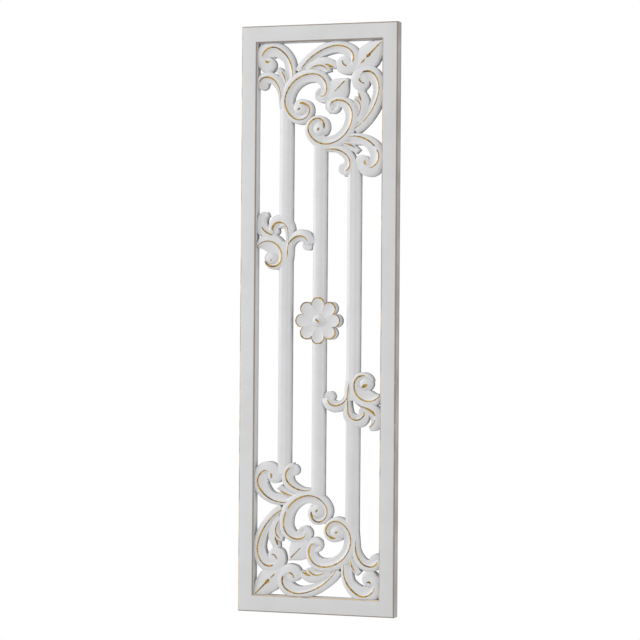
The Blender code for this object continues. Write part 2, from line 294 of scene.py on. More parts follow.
# edges marked as facing away from the light are pushed to brown: painted shade
shade_browner = calculate(edge_group, "MULTIPLY", attribute(edge_group, "shade_and_rub_tone"), SHADE_BROWNING)
tone = calculate(edge_group, "SUBTRACT", noise(edge_group, place, TONE_SCALE, 2.0), shade_browner)
edge_group.links.new(mask, result["Mask"])
edge_group.links.new(blend(edge_group, ramp(edge_group, tone, 0.42, 0.56),
                           given["Brown"], given["Cream"]), result["Colour"])

# Painted shade: a dark band on the walls next to the back, up to a wavering height, and not on the back
# face.
back_shade_group, given, result = new_group(
    "painted_back_shade", [("Float", "Depth", 0.003), ("Float", "Strength", 0.6)], [("Float", "Mask")])
coordinates = back_shade_group.nodes.new("ShaderNodeTexCoord").outputs
where = split(back_shade_group, coordinates["Object"])
facing = split(back_shade_group, coordinates["Normal"])
from_back = calculate(back_shade_group, "MULTIPLY", where["Y"], -1.0)
drift = noise(back_shade_group, coordinates["Object"], 60.0, 2.0)
top = calculate(back_shade_group, "MULTIPLY", given["Depth"],
                calculate(back_shade_group, "ADD", 0.4, calculate(back_shade_group, "MULTIPLY", drift, 1.2)))
low_down = calculate(back_shade_group, "MULTIPLY", ramp(back_shade_group, from_back, top, 0.0),
                     ramp(back_shade_group, facing["Y"], 0.6, 0.3))
back_shade_group.links.new(calculate(back_shade_group, "MULTIPLY", low_down, given["Strength"]),
                     result["Mask"])

frame_paint, tree, shader = new_material("frame_white_satin", 0.45)
brushed = use_group(tree, paint_group, Paint=FRAME_WHITE, Thin_paint=FRAME_WHITE_THIN,
                    Patch_scale=22.0, Stroke_scale=260.0)
worn = use_group(tree, edge_group, Amount=1.0, Break_scale=45.0, Brown=RUBBED_AND_SHADE_BROWN,
                 Cream=RUBBED_CREAM)
# a dark band of painted shade along the back of the frame's walls
shade_at_back = use_group(tree, back_shade_group, Depth=0.005, Strength=0.55)
place = tree.nodes.new("ShaderNodeTexCoord").outputs["Object"]
# the edges and the right wall that face away from the light are painted browner in patches, as shade
shade_side_share = calculate(tree, "MULTIPLY", attribute(tree, "shade_and_rub_tone"),
                    ramp(tree, noise(tree, place, 14.0), 0.35, 0.65, 0.35, 0.65))
rubbed = blend(tree, shade_side_share, brushed["Colour"], RUBBED_AND_SHADE_BROWN)
rubbed = blend(tree, worn["Mask"], rubbed, worn["Colour"])
tree.links.new(blend(tree, shade_at_back["Mask"], rubbed, BACK_SHADE_GREY), shader["Base Color"])
tree.links.new(relief(tree, brushed["Height"], *BRUSH_RELIEF), shader["Normal"])

painted_frame = finished("painted_frame", ring, frame_paint)
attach(painted_frame, "root")
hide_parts("left_stile", "right_stile", "top_rail", "bottom_rail")


# The carved board's bars: the board is one piece of wood let in between the frame's
# lengths, sawn through and carved on its front. Its bars are plain, like half logs.

# The pattern's middle lies a little below the opening's
BOARD_DROP = 0.0025
BAR_WIDTH = 0.0203
BAR_SIDE_HEIGHT = 0.0098
BAR_CROWN_HEIGHT = 0.0166
BAR_FULLNESS = 0.9
BAR_FACETS = 24
OUTER_BAR_PLACE = 0.0458
# How far from the rail a bar ends: by the corner ornament's own stile, in the middle
# and by the other stile
BAR_ENDS = {"far": 0.186, "middle": 0.154, "near": 0.104}
# Where a side ornament breaks an outer bar, measured from the pattern's middle
BAR_BREAK = (0.121, 0.145)
# Length of a bar's sloping end, and its height there as a share of the full height
BAR_SLOPE = 0.014
BAR_SLOPE_END = 0.72
BOARD_MIDDLE = (OPENING_TOP + OPENING_BOTTOM) / 2 - BOARD_DROP
# The petals' middles lie on a circle; their rim runs a little inside their outline
PETAL_CIRCLE = 0.0264
PETAL_RADIUS = 0.0104
PETAL_RIM_PLACE = 0.0014
# Gold values are metres across and along the rubbed line, and its half width
NO_GOLD = (0.0, 0.0, -0.002)

bodies = bpy.data.collections.new("board_bodies")


def rub_layers(bm):
    """The vertex layers that hold the three gold values."""
    return [bm.verts.layers.float.get(name) or bm.verts.layers.float.new(name)
            for name in ("across", "along", "half")]


def loft(bm, sections):
    """Grows one closed body through sections, each a list of (place, gold values) rows."""
    layers = rub_layers(bm)
    already = set(bm.faces)

    def put(vertex, row):
        vertex.co = row[0]
        for layer, value in zip(layers, row[1]):
            vertex[layer] = value

    start = [bm.verts.new() for _ in sections[0]]
    for vertex, row in zip(start, sections[0]):
        put(vertex, row)
    cap = bm.faces.new(start)
    for section in sections[1:]:
        grown = bmesh.ops.extrude_face_region(bm, geom=[cap, *cap.edges])
        cap = next(part for part in grown["geom"] if isinstance(part, bmesh.types.BMFace))
        for vertex, row in zip(cap.verts, section):
            put(vertex, row)
    body = [face for face in bm.faces if face not in already]
    bmesh.ops.recalc_face_normals(bm, faces=body)
    volume = 0.0
    for face in body:
        face.normal_update()
        volume += face.calc_area() * face.normal.dot(face.calc_center_median())
    if volume < 0:
        bmesh.ops.reverse_faces(bm, faces=body)


def mark_rub(bm):
    """Moves the gold values to UV maps, which joining the bodies keeps."""
    layers = across, along, half = rub_layers(bm)
    line = bm.loops.layers.uv.new("rub_line")
    width = bm.loops.layers.uv.new("rub_width")
    for face in bm.faces:
        for loop in face.loops:
            vertex = loop.vert
            loop[line].uv = (vertex[across], vertex[along])
            loop[width].uv = (vertex[half], 0.0)
    for layer in layers:
        bm.verts.layers.float.remove(layer)


def as_body(name, bm):
    """Keeps a closed body in the collection that is joined into the board."""
    bmesh.ops.triangulate(bm, faces=bm.faces)
    mesh = bpy.data.meshes.new(name)
    bm.to_mesh(mesh)
    bm.free()
    body = bpy.data.objects.new(name, mesh)
    bodies.objects.link(body)
    return body


def add_bar(x, bottom, top, slope=0.0):
    """A length of bar between two ends: heights, or functions of the place across.

    The slope is how far it runs on past its end, sinking under a curl: down if negative.
    """
    half = BAR_WIDTH / 2
    outline = [(-half, 0.0)]
    for k in range(BAR_FACETS + 1):
        turn = pi * k / BAR_FACETS
        rise = (BAR_CROWN_HEIGHT - BAR_SIDE_HEIGHT) * sin(turn) ** BAR_FULLNESS
        outline.append((-half * cos(turn), -BAR_SIDE_HEIGHT - rise))
    outline.append((half, 0.0))
    ends = [(bottom, 1.0), (top, 1.0)]
    if slope < 0:
        ends.insert(0, (bottom + slope, BAR_SLOPE_END))
    elif slope > 0:
        ends.append((top + slope, BAR_SLOPE_END))
    bm = bmesh.new()
    loft(bm, [[((x + off, y * share, end(off) if callable(end) else end), NO_GOLD)
               for off, y in outline] for end, share in ends])
    mark_rub(bm)
    as_body("bar", bm)


def petal_rim(off):
    """How far above the flower's middle the top petal's rim lies, at a place across."""
    return PETAL_CIRCLE + (PETAL_RADIUS ** 2 - off ** 2) ** 0.5 - PETAL_RIM_PLACE


left_bar = OPENING_LEFT + OUTER_BAR_PLACE
right_bar = OPENING_RIGHT - OUTER_BAR_PLACE
add_bar(0.0, OPENING_BOTTOM + BAR_ENDS["middle"], lambda off: BOARD_MIDDLE - petal_rim(off))
add_bar(0.0, lambda off: BOARD_MIDDLE + petal_rim(off), OPENING_TOP - BAR_ENDS["middle"])
add_bar(left_bar, OPENING_BOTTOM + BAR_ENDS["far"], BOARD_MIDDLE + BAR_BREAK[0])
add_bar(left_bar, BOARD_MIDDLE + BAR_BREAK[1], OPENING_TOP - BAR_ENDS["near"], BAR_SLOPE)
add_bar(right_bar, OPENING_BOTTOM + BAR_ENDS["near"], BOARD_MIDDLE - BAR_BREAK[1], -BAR_SLOPE)
add_bar(right_bar, BOARD_MIDDLE - BAR_BREAK[0], OPENING_TOP - BAR_ENDS["far"])


# The flower on the middle bar: eight scooped petals with raised rims, round a
# stepped boss with a button. The rims and the button's tip are rubbed with gold.
PETALS = 8
PETAL_FACETS = 20
PETAL_FLOOR_HEIGHT = 0.0140
PETAL_RIM_HEIGHT = 0.0168
PETAL_RIDGE = 0.42
BOSS_RADIUS = 0.0095
BUTTON_RADIUS = 0.0045
RIM_GOLD = 0.0009
RIM_GOLD_SHIFT = 0.0002
BUTTON_GOLD = 0.0013
BUTTON_GOLD_TURN = 0.7

# Distance inside the lobed outline, and height, of each line round the petals' wall
PETAL_WALL = ((0.0, 0.0), (0.0, 0.0148), (0.0005, 0.0160), (PETAL_RIM_PLACE, PETAL_RIM_HEIGHT))
# Shares of the way from the boss to the rim where the scoop has a line
PETAL_LINES = (0.97, 0.9, 0.8, 0.65, 0.5, 0.35, 0.2, 0.08, 0.0)
# Radius and height of each line round the boss and its button
BOSS_PROFILE = ((BOSS_RADIUS, 0.0138), (BOSS_RADIUS - 0.0006, 0.0146),
                (BOSS_RADIUS - 0.0018, 0.0155), (BOSS_RADIUS - 0.0034, 0.0161),
                (BUTTON_RADIUS + 0.0003, 0.0164), (BUTTON_RADIUS, 0.0176),
                (BUTTON_RADIUS * 0.75, 0.0188), (BUTTON_RADIUS * 0.35, 0.0191))


def petal_edge(turn):
    """Distance from the flower's middle to its lobed outline, and how near a dip that is."""
    apart = (turn + pi / PETALS) % (2 * pi / PETALS) - pi / PETALS
    sideways = PETAL_CIRCLE * sin(apart)
    edge = PETAL_CIRCLE * cos(apart) + (PETAL_RADIUS ** 2 - sideways ** 2) ** 0.5
    return edge, abs(apart) / (pi / PETALS)


def petal_height(share, near_dip):
    """Height of a petal's scoop from the boss (0) to the rim (1), raised toward the next petal."""
    bowl = share ** 3
    ridge = PETAL_RIDGE * (1 - cos(pi * near_dip)) / 2 * share ** 1.1
    rise = PETAL_RIM_HEIGHT - PETAL_FLOOR_HEIGHT
    return PETAL_FLOOR_HEIGHT + rise * (1 - (1 - bowl) * (1 - ridge))


def flower_point(turn, radius, height):
    """A place on the flower, with the gold of the rim or of the button's tip."""
    edge = petal_edge(turn)[0]
    gold = NO_GOLD
    if radius > BOSS_RADIUS:
        gold = (radius - (edge - PETAL_RIM_PLACE) + RIM_GOLD_SHIFT, turn * edge, RIM_GOLD)
    elif radius < BUTTON_RADIUS:
        leaning = turn + BUTTON_GOLD_TURN
        gold = (radius * sin(leaning), radius * cos(leaning), BUTTON_GOLD)
    return (radius * cos(turn), -height, BOARD_MIDDLE + radius * sin(turn)), gold


turns = [2 * pi * k / (PETALS * PETAL_FACETS) for k in range(PETALS * PETAL_FACETS)]
sections = [[flower_point(turn, petal_edge(turn)[0] - inset, height) for turn in turns]
            for inset, height in PETAL_WALL]
for share in PETAL_LINES:
    section = []
    for turn in turns:
        edge, near_dip = petal_edge(turn)
        radius = BOSS_RADIUS + (edge - PETAL_RIM_PLACE - BOSS_RADIUS) * share
        section.append(flower_point(turn, radius, petal_height(share, near_dip)))
    sections.append(section)
for radius, height in BOSS_PROFILE:
    sections.append([flower_point(turn, radius, height) for turn in turns])
flower = bmesh.new()
loft(flower, sections)
mark_rub(flower)
flower_body = as_body("flower", flower)


# The corner ornament: C-scrolls, curls and folded leaves, each a carved stroke
# with a sharp gold-rubbed ridge, a rounded shoulder outside and a hollow inside.
# It is drawn in millimetres from the corner and mirrored about its diagonal.
MM = 0.001
CORNER_LAP = 0.0006
CORNER_DROP = 0.0015
RIM_HEIGHT = 13.3
RIDGE_HEIGHT = 17.2
# How finely curves are cut: the most a step may leave its arc, turn, or run straight on
ARC_ERROR = 0.06
MOST_TURN = radians(9)
STRAIGHT_STEP = 2.5

# The side on which a stroke's rounded shoulder lies
LEFT, RIGHT = 1, -1
SUNK_ROOT = ((0, 1.6), (0.12, 0.3), (0.25, 0), (0.93, 0), (1, 1.0))

# Each stroke: its shoulder's side, the start and heading of its ridge, the arcs of the
# ridge as radius and turn (a turn of 0 is a straight length), then along its length the
# widths of shoulder and hollow, how deep it is sunk, and half the width of its gold,
# where a value below 0 means none.
CORNER_SCROLLS = (
    # long arm that rises from the stem and curls over the top
    (LEFT, (134, 45.5), -121, ((83, -47), (34, -46), (16, -89), (8, -147)),
     ((0, 9, 7), (0.24, 8, 8), (0.48, 9, 10), (0.68, 8.5, 13), (0.78, 9.5, 12.5),
      (0.86, 12, 10), (0.95, 14, 6), (1, 12, 4)),
     SUNK_ROOT, ((0, 0.5), (0.3, 0.8), (0.7, 0.9), (0.82, 1.3), (0.84, 0.6), (0.85, -0.8),
                 (0.91, -0.8), (0.93, 1.5), (1, 1.5))),
    # main C-scroll, from the curled tip round to the eye
    (RIGHT, (103.5, 81), 134, ((7.5, 115), (22, 108), (44, 79), (31, 76), (16, 102), (10.5, 156)),
     ((0, 8, 6), (0.04, 7, 8), (0.1, 6, 10), (0.22, 7.5, 12.5), (0.45, 10, 11.5),
      (0.65, 7.5, 12), (0.77, 6.5, 12), (0.88, 4.5, 8), (0.94, 6.5, 7), (1, 9, 6)),
     ((0, 2.2), (0.05, 1.0), (0.1, 0), (0.9, 0), (1, 0.3)),
     ((0, -1), (0.02, 0.2), (0.05, 0.7), (0.1, 1.0), (0.3, 0.85), (0.55, 0.9), (0.8, 0.8),
      (0.93, 1.0), (0.97, 2.3), (1, 1.0))),
    # curl that turns back toward the far stile
    (RIGHT, (145.5, 57), -93, ((8, 0), (44, 64), (18, 97), (7, 91), (14, 33)),
     ((0, 4, 15), (0.15, 5, 13), (0.3, 7, 10.5), (0.53, 9, 14), (0.62, 10, 16), (0.7, 11, 16),
      (0.83, 13, 11.5), (0.91, 14.5, 8.5), (1, 14, 5)),
     ((0, 1.5), (0.1, 0.3), (0.2, 0), (0.92, 0), (1, 1.2)),
     ((0, -0.5), (0.04, 0.4), (0.2, 0.9), (0.5, 1.1), (0.8, 0.8), (0.84, 0.6), (0.86, -0.8),
      (0.92, -0.8), (0.94, 2.0), (1, 2.0))),
    # small curl on the stem of the outer bar
    (RIGHT, (164, 106), -90, ((25, 0), (35, 41), (19, 49), (12, 85)),
     ((0, 8, 2), (0.3, 7, 4), (0.55, 9, 7), (0.75, 8.5, 9.5), (0.9, 7.5, 11.5), (1, 7, 12.5)),
     ((0, 6.5), (0.1, 3.2), (0.3, 0), (0.92, 0), (1, 2.6)),
     ((0, -2), (0.12, -0.6), (0.2, 0.3), (0.4, 0.8), (0.9, 1.0), (0.95, 0.6), (0.98, -0.5),
      (1, -2))),
    # sprig between the two curls
    (RIGHT, (155.5, 64), -88, ((36, 46),), ((0, 4, 10), (0.5, 3, 8), (1, 2.5, 6.5)),
     ((0, 1.6), (0.3, 0.6), (1, 0.3)),
     ((0, -0.2), (0.15, 0.5), (0.5, 1.0), (0.75, 0.5), (0.82, -1), (1, -2))),
    # folded leaf below the long arm: its under lobe and its pointed upper lobe
    (LEFT, (121, 43.5), -141, ((37, -29), (14, -84)),
     ((0, 11.5, 6), (0.5, 9, 7), (0.8, 6.5, 8), (1, 4, 8.5)),
     ((0, 1.8), (0.3, 0.6), (1, 0.4)), ((0, -0.4), (0.3, 0.6), (0.8, 0.8), (0.93, 0.4), (1, -0.8))),
    (LEFT, (118.5, 39.5), -158, ((55, -46),),
     ((0, 8, 5), (0.3, 11.5, 5), (0.6, 13, 4.5), (0.85, 10, 3), (1, 6, 1)),
     ((0, 1.8), (0.3, 1.0), (0.8, 1.0), (1, 1.8)),
     ((0, -2), (0.35, -0.5), (0.45, 0.5), (0.7, 1.9), (0.9, 0.6), (0.95, -0.5), (1, -2))),
)

# The two pointed leaves on the diagonal: the same values, without a side
DIAGONAL_LEAVES = (
    ((47.5, 47.5), -135, ((66, 0),),
     ((0, 14, 14), (0.27, 17, 17), (0.5, 18.5, 18.5), (0.73, 15, 15), (0.87, 10, 10),
      (0.96, 5, 5), (1, 2, 2)),
     ((0, 1.5), (0.2, 0.5), (0.4, 0), (1, 0)),
     ((0, -2), (0.24, -0.6), (0.28, 0.9), (0.4, 0.9), (0.42, -0.6), (0.46, 0.2), (0.49, 2.4),
      (0.62, 1.1), (0.93, 0.8), (0.97, -0.2), (1, -2))),
    ((87, 87), -135, ((43, 0),),
     ((0, 20, 20), (0.2, 19.5, 19.5), (0.5, 17.5, 17.5), (0.65, 14.5, 14.5), (0.78, 9.5, 9.5),
      (0.9, 4.5, 4.5), (1, 1, 1)),
     ((0, 1.5), (0.3, 0.6), (0.6, 0.2), (1, 0.2)),
     ((0, -2), (0.3, -0.4), (0.36, 0.6), (0.8, 0.8), (0.86, 1.3), (0.9, -0.5), (1, -2))),
)

# Kinds of round end: the height of its top, and shares of its radius with the height
# there as a share of the rise from the scroll's rim to that top
DOME = (16.2, ((1.0, 0.0), (0.985, 0.2), (0.94, 0.42), (0.86, 0.62), (0.74, 0.79), (0.58, 0.91),
               (0.38, 0.98), (0.15, 1.0)))
DISH = (14.2, ((1.0, 0.0), (0.985, 0.6), (0.94, 1.2), (0.87, 1.6), (0.78, 1.4), (0.65, 0.6),
               (0.45, -0.4), (0.2, -1.0)))
FLAT = (13.9, ((1.0, -0.8), (0.97, 0.0), (0.9, 0.5), (0.75, 0.9), (0.5, 1.0), (0.2, 1.0)))
EYE = (18.0, ((1.0, 0.0), (0.97, 0.1), (0.9, 0.15), (0.83, 0.17), (0.79, 0.3), (0.72, 0.52),
              (0.6, 0.74), (0.45, 0.88), (0.28, 0.96), (0.1, 1.0)))
KNOB_FACETS = 36
# How fast a slash narrows toward its ends, in half width per length
SLASH_POINT = 0.5

# Place, radius and kind of each round end, and the gold slash on it: its place from
# the end's middle, its direction in degrees, its length and its half width
CORNER_KNOBS = (
    ((62, 36.5), 13.7, DOME, None),
    ((97.5, 81), 12, DISH, None),
    ((133, 101), 12.5, EYE, (0.5, 1.0, 35, 6.5, 1.5)),
    ((186, 33), 12.5, DOME, None),
    ((194.5, 62), 9, FLAT, None),
)


def between(knots, share):
    """Values at a share of the length, read smoothly between the knots."""
    for low, high in zip(knots, knots[1:]):
        if share <= high[0]:
            step = (share - low[0]) / (high[0] - low[0])
            step = 0.6 * step + 0.4 * step * step * (3 - 2 * step)
            return [a + (b - a) * step for a, b in zip(low[1:], high[1:])]
    return knots[-1][1:]


def stations(start, heading, arcs, reach):
    """Places, headings and walked lengths along a chain of tangent arcs."""
    x, y = start
    angle = radians(heading)
    walked = 0.0
    row = [(x, y, angle, walked)]
    for radius, turn in arcs:
        if turn:
            coarsest = min(MOST_TURN, 2 * acos(1 - ARC_ERROR / (radius + reach)))
            steps = max(2, ceil(abs(radians(turn)) / coarsest))
            bend = radians(turn) / steps
            chord = 2 * radius * sin(abs(bend) / 2)
        else:
            steps = ceil(radius / STRAIGHT_STEP)
            bend = 0.0
            chord = radius / steps
        for _ in range(steps):
            x += chord * cos(angle + bend / 2)
            y += chord * sin(angle + bend / 2)
            angle += bend
            walked += chord
            row.append((x, y, angle, walked))
    return row


# Shares of the way from the ridge to the rim, with the height there as a share of
# the rise from the rim to the ridge: the rounded outside, the hollow inside, and
# either side of a folded leaf.
SHOULDER = ((1.0, 0.0), (0.985, 0.16), (0.94, 0.34), (0.86, 0.52), (0.74, 0.68),
            (0.58, 0.81), (0.4, 0.9), (0.22, 0.95), (0.09, 0.97))
HOLLOW = ((0.05, 0.88), (0.13, 0.7), (0.25, 0.47), (0.4, 0.28), (0.56, 0.19), (0.72, 0.19),
          (0.86, 0.23), (0.94, 0.19), (0.985, 0.08), (1.0, -0.06))
FOLD = ((1.0, 0.0), (0.98, 0.16), (0.93, 0.33), (0.83, 0.5), (0.68, 0.65), (0.5, 0.76),
        (0.3, 0.87), (0.12, 0.96))


def stroke(bm, outside, start, heading, arcs, widths, sinks, line, folded=False):
    """One carved stroke, from its root to its tip, in the ornament's own millimetres."""
    reach = max(outer for _, outer, _ in widths)
    path = stations(start, heading, arcs, reach)
    length = path[-1][3]
    rise = RIDGE_HEIGHT - RIM_HEIGHT
    sections = []
    for x, y, angle, walked in path:
        share = walked / length
        outer, inner = between(widths, share)
        sink = between(sinks, share)[0]
        half = between(line, share)[0] * MM
        direction = angle + outside * pi / 2
        # the rim goes down by half of the sinking and the ridge by all of it
        low = RIM_HEIGHT - sink / 2
        high = rise - sink / 2
        outline = [(outer, 0.0)]
        if folded:
            outline += [(outer * far, low + high * up) for far, up in FOLD]
            outline.append((0.0, low + high))
            outline += [(-inner * far, low + high * up) for far, up in reversed(FOLD)]
        else:
            outline += [(outer * far, low + high * up) for far, up in SHOULDER]
            outline.append((0.0, low + high))
            outline += [(-inner * far, low + high * up) for far, up in HOLLOW]
        outline.append((-inner, 0.0))
        sections.append([((x + off * cos(direction), -height, y + off * sin(direction)),
                          (off * MM, walked * MM, half if height > 0 else NO_GOLD[2]))
                         for off, height in outline])
    loft(bm, sections)


def knob(bm, middle, radius, kind, slash):
    """The round end of a curl, or the domed button in the eye of a scroll."""
    top, profile = kind
    lines = [(1.0, 0.0)] + [(far, RIM_HEIGHT + (top - RIM_HEIGHT) * up) for far, up in profile]
    sections = []
    for far, height in lines:
        section = []
        for k in range(KNOB_FACETS):
            turn = 2 * pi * k / KNOB_FACETS
            dx, dy = radius * far * cos(turn), radius * far * sin(turn)
            gold = NO_GOLD
            if slash and height:
                sx, sy, lean, length, half = slash
                lean = radians(lean)
                along = (dx - sx) * cos(lean) + (dy - sy) * sin(lean)
                across = (dy - sy) * cos(lean) - (dx - sx) * sin(lean)
                room = (length / 2 - abs(along)) * SLASH_POINT
                gold = (across * MM, along * MM, min(half, room) * MM)
            section.append(((middle[0] + dx, -height, middle[1] + dy), gold))
        sections.append(section)
    loft(bm, sections)


def plain_mesh(name, bm):
    """A bmesh's triangles as a mesh, with its gold values in UV maps."""
    mark_rub(bm)
    bmesh.ops.triangulate(bm, faces=bm.faces)
    mesh = bpy.data.meshes.new(name)
    bm.to_mesh(mesh)
    bm.free()
    return mesh


# Blocks round the strokes of half a corner and of a side: from and to, across and up
CORNER_BLOCK = ((-30, 260), (-30, 260))
SIDE_BLOCK = ((-30, 150), (40, 200))
BLOCK_DEPTH = 60


def joined_by_itself(name, bm, room):
    """The strokes of one ornament, which run into each other, made one closed body."""
    strokes = bpy.data.objects.new(name, plain_mesh(name, bm))
    bpy.context.scene.collection.objects.link(strokes)
    # joining needs a second body, so the strokes are kept where a block round them is
    block = bmesh.new()
    bmesh.ops.create_cube(block, size=1.0)
    (x0, x1), (z0, z1) = room
    bmesh.ops.scale(block, vec=(x1 - x0, BLOCK_DEPTH, z1 - z0), verts=block.verts)
    bmesh.ops.translate(block, vec=((x0 + x1) / 2, 0, (z0 + z1) / 2), verts=block.verts)
    mesh = bpy.data.meshes.new(name + "_room")
    block.to_mesh(mesh)
    block.free()
    cutter = bpy.data.objects.new(name + "_room", mesh)
    bpy.context.scene.collection.objects.link(cutter)
    union = strokes.modifiers.new("joined", "BOOLEAN")
    union.operation = "INTERSECT"
    union.solver = "EXACT"
    union.use_self = True
    union.object = cutter
    graph = bpy.context.evaluated_depsgraph_get()
    made = bpy.data.meshes.new_from_object(strokes.evaluated_get(graph))
    for thing in (strokes, cutter):
        bpy.data.objects.remove(thing)
    return made


def placed(name, mesh, matrix):
    """A copy of an ornament at its place on the board, turned right side out if mirrored."""
    bm = bmesh.new()
    bm.from_mesh(mesh)
    bmesh.ops.transform(bm, matrix=matrix, verts=bm.verts)
    if matrix.determinant() < 0:
        bmesh.ops.reverse_faces(bm, faces=bm.faces)
    as_body(name, bm)


strokes = bmesh.new()
for scroll in CORNER_SCROLLS:
    stroke(strokes, *scroll)
for end in CORNER_KNOBS:
    knob(strokes, *end)
half_corner = joined_by_itself("half_corner", strokes, CORNER_BLOCK)

folds = bmesh.new()
for leaf in DIAGONAL_LEAVES:
    stroke(folds, LEFT, *leaf, folded=True)
leaves = plain_mesh("leaves", folds)

top_right = Matrix(((-MM, 0, 0, OPENING_RIGHT + CORNER_LAP), (0, MM, 0, 0),
                    (0, 0, -MM, OPENING_TOP + CORNER_LAP - CORNER_DROP), (0, 0, 0, 1)))
bottom_left = Matrix(((MM, 0, 0, OPENING_LEFT - CORNER_LAP), (0, MM, 0, 0),
                      (0, 0, MM, OPENING_BOTTOM - CORNER_LAP - CORNER_DROP), (0, 0, 0, 1)))
about_diagonal = Matrix(((0, 0, 1, 0), (0, 1, 0, 0), (1, 0, 0, 0), (0, 0, 0, 1)))
for corner in (top_right, bottom_left):
    placed("corner_half", half_corner, corner)
    placed("corner_half", half_corner, corner @ about_diagonal)
    placed("corner_leaves", leaves, corner)


# The side ornament: three curls and a spiral with a fanned blade, on the left
# stile above the flower and turned half round on the right one below it.
SIDE_SCROLLS = (
    # leaf that lies along the stile
    (LEFT, (45.5, 117), 124, ((35, 41), (32, -28), (10.5, -51), (16.8, -62)),
     ((0, 6, 0.3), (0.31, 9, 2.5), (0.53, 11, 8), (0.72, 12, 8.5), (0.87, 11.5, 4.5),
      (0.94, 9.5, 2), (1, 6, 1)),
     ((0, 1.0), (0.15, 0.2), (0.5, 0.3), (0.7, 2.0), (1, 2.6)),
     "leaf"),
    # curl over the outer bar
    (RIGHT, (50, 93), 82, ((198, 13), (14, 76), (12, 91), (2, 88)),
     ((0, 6.5, 4), (0.4, 6, 4), (0.55, 9.5, 5.5), (0.65, 11, 7.5), (0.8, 12, 9),
      (0.93, 8, 7.5), (1, 6, 5)),
     ((0, 0.6), (0.15, 0), (0.85, 0), (1, 1.4)),
     ((0, -0.5), (0.05, 0.5), (0.4, 0.6), (0.6, 0.7), (0.85, 1.0), (0.94, 1.3), (0.98, 0.8),
      (1, 0.2))),
    # curl that reaches the middle bar
    (LEFT, (50.5, 97), 90, ((75, -13), (20, -77), (11.5, -58), (19, -23)),
     ((0, 4, 3), (0.3, 5.5, 6), (0.5, 8, 6.3), (0.7, 10.5, 7.5), (1, 10, 8)),
     ((0, 0), (0.5, 0), (0.7, -1.8), (0.9, -1.8), (1, 0.5)),
     ((0, 0.6), (0.3, 0.8), (0.55, 1.0), (0.75, 0.8), (0.93, 0.6), (0.97, -0.6), (1, -2))),
    # spiral with a broad fanned blade
    (LEFT, (2, 113.5), 53, ((21, -56), (23, -101), (14, -125), (9.5, -27)),
     ((0, 3, 5), (0.08, 8, 15), (0.2, 9.5, 17), (0.47, 9.5, 18), (0.72, 6.5, 15),
      (0.85, 4.5, 11), (1, 2.5, 6)),
     ((0, 0.5), (0.1, 0), (0.9, 0), (1, 0.8)),
     "spiral"),
)

SIDE_KNOBS = (
    ((29, 137.5), 6.5, FLAT),
    ((82, 115.5), 8.2, FLAT),
    ((24.5, 95.5), 11.5, EYE),
)

# Gold on the leaf, the spiral and its eye, which is rubbed differently on the two sides
SIDE_RUBS = {
    "left": {
        "leaf": ((0, -2), (0.32, -0.6), (0.36, 0.6), (0.55, 1.0), (0.7, 0.6), (0.76, -0.5), (1, -2)),
        "spiral": ((0, 0.5), (0.2, 0.7), (0.5, 0.9), (0.8, 1.2), (0.93, 1.4), (1, 0.5)),
        "eye": (0.5, -3.0, 70, 4.5, 1.2)},
    "right": {
        "leaf": ((0, -1), (0.1, -0.2), (0.16, 0.6), (0.4, 0.8), (0.58, 1.7), (0.68, 1.0),
                 (0.7, -0.6), (0.74, -0.6), (0.78, 0.7), (0.95, 0.8), (1, 0)),
        "spiral": ((0, 0.7), (0.2, 0.8), (0.5, 0.9), (0.8, 1.0), (0.86, 0.4), (0.9, -0.6), (1, -2)),
        "eye": (0.5, 3.2, 24, 12, 2.3)},
}

on_left = Matrix(((MM, 0, 0, OPENING_LEFT), (0, MM, 0, 0),
                  (0, 0, MM, BOARD_MIDDLE), (0, 0, 0, 1)))
on_right = Matrix(((-MM, 0, 0, OPENING_RIGHT), (0, MM, 0, 0),
                   (0, 0, -MM, BOARD_MIDDLE), (0, 0, 0, 1)))
for which_side, matrix in (("left", on_left), ("right", on_right)):
    rubs = SIDE_RUBS[which_side]
    strokes = bmesh.new()
    for *shape, line in SIDE_SCROLLS:
        stroke(strokes, *shape, rubs[line] if isinstance(line, str) else line)
    for middle, radius, kind in SIDE_KNOBS:
        knob(strokes, middle, radius, kind, rubs["eye"] if kind is EYE else None)
    placed("side_ornament", joined_by_itself("side_ornament", strokes, SIDE_BLOCK), matrix)


# The bars, flower and ornaments are one board, so their bodies are joined into
# one and trimmed to the opening, a hair clear of the frame as the CAD board is.
JOINT_GAP = 0.0003
ROOM_DEPTH = 0.1
board_room = bmesh.new()
bmesh.ops.create_cube(board_room, size=1.0)
bmesh.ops.scale(board_room, vec=(OPENING_RIGHT - OPENING_LEFT - 2 * JOINT_GAP, ROOM_DEPTH,
                                 OPENING_TOP - OPENING_BOTTOM - 2 * JOINT_GAP),
                verts=board_room.verts)
bmesh.ops.translate(board_room, vec=(0, 0, (OPENING_TOP + OPENING_BOTTOM) / 2),
                    verts=board_room.verts)
room_mesh = bpy.data.meshes.new("board_room")
board_room.to_mesh(room_mesh)
board_room.free()
room_object = bpy.data.objects.new("board_room", room_mesh)
bpy.context.scene.collection.objects.link(room_object)
bpy.context.scene.collection.children.link(bodies)

bodies.objects.unlink(flower_body)
bpy.context.scene.collection.objects.link(flower_body)
union = flower_body.modifiers.new("joined", "BOOLEAN")
union.operation = "UNION"
union.solver = "MANIFOLD"
union.operand_type = "COLLECTION"
union.collection = bodies
trim = flower_body.modifiers.new("trimmed", "BOOLEAN")
trim.operation = "INTERSECT"
trim.solver = "MANIFOLD"
trim.object = room_object
graph = bpy.context.evaluated_depsgraph_get()
board = bmesh.new()
board.from_mesh(bpy.data.meshes.new_from_object(flower_body.evaluated_get(graph)))
for thing in (*bodies.objects, flower_body, room_object):
    bpy.data.objects.remove(thing)
bpy.data.collections.remove(bodies)


